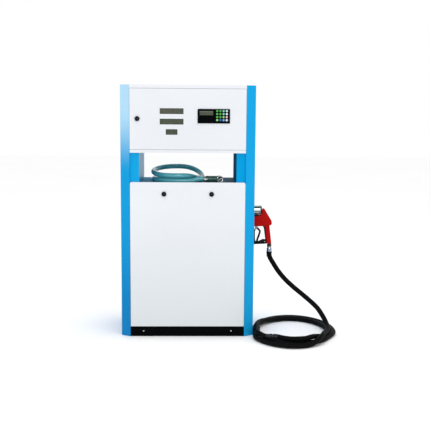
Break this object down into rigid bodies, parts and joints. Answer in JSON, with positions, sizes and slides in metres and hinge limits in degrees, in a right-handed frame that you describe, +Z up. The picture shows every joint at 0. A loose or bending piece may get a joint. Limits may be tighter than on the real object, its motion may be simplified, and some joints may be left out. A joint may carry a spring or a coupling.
{
  "type": "fuel dispenser",
  "caption": "Free-standing fuel dispenser cabinet with counter head, keypad, open hose shelf, side nozzle with trigger, floor-coiled delivery hose and internal pumping train.",
  "frame": {"origin": "on the floor, in the middle of the cabinet's base", "axes": "+Z up, -Y out of the front, +X to the right of someone facing the front, where the nozzle hangs"},
  "size_m": [1.3025, 0.6538, 1.5],
  "materials": {
    "blue": "gloss",
    "white": "satin",
    "black": "satin",
    "slate": "satin",
    "display": "gloss",
    "bezel": "matte",
    "key_green": "matte",
    "key_blue": "matte",
    "key_white": "matte",
    "chrome": "polished",
    "steel": "satin",
    "casting": "rough",
    "motor_paint": "satin",
    "brass": "satin",
    "red": "semi-gloss",
    "lever_black": "semi-gloss",
    "rubber": "matte",
    "clear_teal": "gloss",
    "aluminium": "satin"
  },
  "bodies": {
    "cabinet": {"base_frame": "black", "side_shell_left": "blue", "side_shell_right": "blue", "column_liner_left": "blue", "column_liner_right": "blue", "shelf_deck": "slate", "head_top_cap": "white", "head_floor_pan": "white", "head_rear_panel": "white", "lower_rear_panel": "white", "controller_box": "steel", "motor": "motor_paint", "drive_belt": "rubber", "pump_unit": "casting", "riser_pipe": "steel", "flow_meter": "aluminium", "pulser": "black", "solenoid_valve": "brass", "outlet_pipe": "steel", "nozzle_socket": "chrome", "delivery_hose_drop": "rubber", "delivery_hose_coil": "rubber", "hose_end_fitting": "steel", "suction_hose_coil": "clear_teal", "suction_hose_tail": "clear_teal", "suction_fitting": "brass"},
    "head_door": {"head_door": "white", "display_amount": "display", "display_volume": "display", "display_unit_price": "display", "keypad_bezel": "bezel", "keypad_display": "display"},
    "front_panel": {"lower_front_panel": "white"},
    "head_lock": {"head_lock": "chrome"},
    "panel_lock_left": {"panel_lock_left": "chrome"},
    "panel_lock_right": {"panel_lock_right": "chrome"},
    "key_1_1": {"key_1_1": "key_green"},
    "key_1_2": {"key_1_2": "key_green"},
    "key_1_3": {"key_1_3": "key_blue"},
    "key_1_4": {"key_1_4": "key_white"},
    "key_2_1": {"key_2_1": "key_green"},
    "key_2_2": {"key_2_2": "key_green"},
    "key_2_3": {"key_2_3": "key_blue"},
    "key_2_4": {"key_2_4": "key_white"},
    "key_3_1": {"key_3_1": "key_green"},
    "key_3_2": {"key_3_2": "key_green"},
    "key_3_3": {"key_3_3": "key_blue"},
    "key_3_4": {"key_3_4": "key_white"},
    "key_4_1": {"key_4_1": "key_green"},
    "key_4_2": {"key_4_2": "key_green"},
    "key_4_3": {"key_4_3": "key_blue"},
    "key_4_4": {"key_4_4": "key_white"},
    "nozzle": {"nozzle_body": "red", "nozzle_spout": "aluminium", "nozzle_guard": "lever_black"},
    "nozzle_lever": {"nozzle_lever": "lever_black"},
    "nozzle_swivel": {"nozzle_swivel": "chrome"},
    "switch_flap": {"nozzle_switch_flap": "steel"},
    "pump_pulley": {"pump_pulley": "casting"},
    "motor_pulley": {"motor_pulley": "casting"}
  },
  "joints": [
    {"name": "head_door_hinge", "type": "hinge", "parent": "cabinet", "child": "head_door", "pos_m": [0.338, -0.209, 1.302], "axis": [0, 0, 1], "range_deg": [0, 100]},
    {"name": "front_panel_tilt", "type": "hinge", "parent": "cabinet", "child": "front_panel", "pos_m": [0, -0.209, 0.0625], "axis": [1, 0, 0], "range_deg": [0, 30]},
    {"name": "head_lock_turn", "type": "hinge", "parent": "head_door", "child": "head_lock", "pos_m": [-0.295, -0.2, 1.304], "axis": [0, 1, 0], "range_deg": [0, 90]},
    {"name": "panel_lock_left_turn", "type": "hinge", "parent": "front_panel", "child": "panel_lock_left", "pos_m": [-0.14, -0.2, 0.864], "axis": [0, 1, 0], "range_deg": [0, 90]},
    {"name": "panel_lock_right_turn", "type": "hinge", "parent": "front_panel", "child": "panel_lock_right", "pos_m": [0.14, -0.2, 0.864], "axis": [0, 1, 0], "range_deg": [0, 90]},
    {"name": "key_1_1_press", "type": "slide", "parent": "head_door", "child": "key_1_1", "axis": [0, 1, 0], "range_m": [0, 0.0015], "stiffness_N_per_m": 150},
    {"name": "key_1_2_press", "type": "slide", "parent": "head_door", "child": "key_1_2", "axis": [0, 1, 0], "range_m": [0, 0.0015], "stiffness_N_per_m": 150},
    {"name": "key_1_3_press", "type": "slide", "parent": "head_door", "child": "key_1_3", "axis": [0, 1, 0], "range_m": [0, 0.0015], "stiffness_N_per_m": 150},
    {"name": "key_1_4_press", "type": "slide", "parent": "head_door", "child": "key_1_4", "axis": [0, 1, 0], "range_m": [0, 0.0015], "stiffness_N_per_m": 150},
    {"name": "key_2_1_press", "type": "slide", "parent": "head_door", "child": "key_2_1", "axis": [0, 1, 0], "range_m": [0, 0.0015], "stiffness_N_per_m": 150},
    {"name": "key_2_2_press", "type": "slide", "parent": "head_door", "child": "key_2_2", "axis": [0, 1, 0], "range_m": [0, 0.0015], "stiffness_N_per_m": 150},
    {"name": "key_2_3_press", "type": "slide", "parent": "head_door", "child": "key_2_3", "axis": [0, 1, 0], "range_m": [0, 0.0015], "stiffness_N_per_m": 150},
    {"name": "key_2_4_press", "type": "slide", "parent": "head_door", "child": "key_2_4", "axis": [0, 1, 0], "range_m": [0, 0.0015], "stiffness_N_per_m": 150},
    {"name": "key_3_1_press", "type": "slide", "parent": "head_door", "child": "key_3_1", "axis": [0, 1, 0], "range_m": [0, 0.0015], "stiffness_N_per_m": 150},
    {"name": "key_3_2_press", "type": "slide", "parent": "head_door", "child": "key_3_2", "axis": [0, 1, 0], "range_m": [0, 0.0015], "stiffness_N_per_m": 150},
    {"name": "key_3_3_press", "type": "slide", "parent": "head_door", "child": "key_3_3", "axis": [0, 1, 0], "range_m": [0, 0.0015], "stiffness_N_per_m": 150},
    {"name": "key_3_4_press", "type": "slide", "parent": "head_door", "child": "key_3_4", "axis": [0, 1, 0], "range_m": [0, 0.0015], "stiffness_N_per_m": 150},
    {"name": "key_4_1_press", "type": "slide", "parent": "head_door", "child": "key_4_1", "axis": [0, 1, 0], "range_m": [0, 0.0015], "stiffness_N_per_m": 150},
    {"name": "key_4_2_press", "type": "slide", "parent": "head_door", "child": "key_4_2", "axis": [0, 1, 0], "range_m": [0, 0.0015], "stiffness_N_per_m": 150},
    {"name": "key_4_3_press", "type": "slide", "parent": "head_door", "child": "key_4_3", "axis": [0, 1, 0], "range_m": [0, 0.0015], "stiffness_N_per_m": 150},
    {"name": "key_4_4_press", "type": "slide", "parent": "head_door", "child": "key_4_4", "axis": [0, 1, 0], "range_m": [0, 0.0015], "stiffness_N_per_m": 150},
    {"name": "nozzle_pull_out", "type": "slide", "parent": "cabinet", "child": "nozzle", "axis": [1, 0, 0], "range_m": [0, 0.16]},
    {"name": "nozzle_lever_squeeze", "type": "hinge", "parent": "nozzle", "child": "nozzle_lever", "pos_m": [0.424, 0, 0.63], "axis": [0, -1, 0], "range_deg": [0, 18], "stiffness_Nm_per_rad": 0.8},
    {"name": "nozzle_swivel_turn", "type": "hinge", "parent": "nozzle", "child": "nozzle_swivel", "pos_m": [0.506, 0, 0.5], "axis": [0, 0, 1], "continuous": true},
    {"name": "switch_flap_swing", "type": "hinge", "parent": "cabinet", "child": "switch_flap", "pos_m": [0.296, 0, 0.782], "axis": [0, -1, 0], "range_deg": [0, 20]},
    {"name": "pump_pulley_spin", "type": "hinge", "parent": "cabinet", "child": "pump_pulley", "pos_m": [0.11, -0.12, 0.3], "axis": [0, 1, 0], "continuous": true},
    {"name": "motor_pulley_spin", "type": "hinge", "parent": "cabinet", "child": "motor_pulley", "pos_m": [-0.15, -0.12, 0.19], "axis": [0, 1, 0], "continuous": true}
  ],
  "couplings": [
    {"joint": "motor_pulley_spin", "follows": "pump_pulley_spin", "ratio": 2},
    {"joint": "switch_flap_swing", "follows": "nozzle_pull_out", "rad_per_m": 2.18}
  ]
}
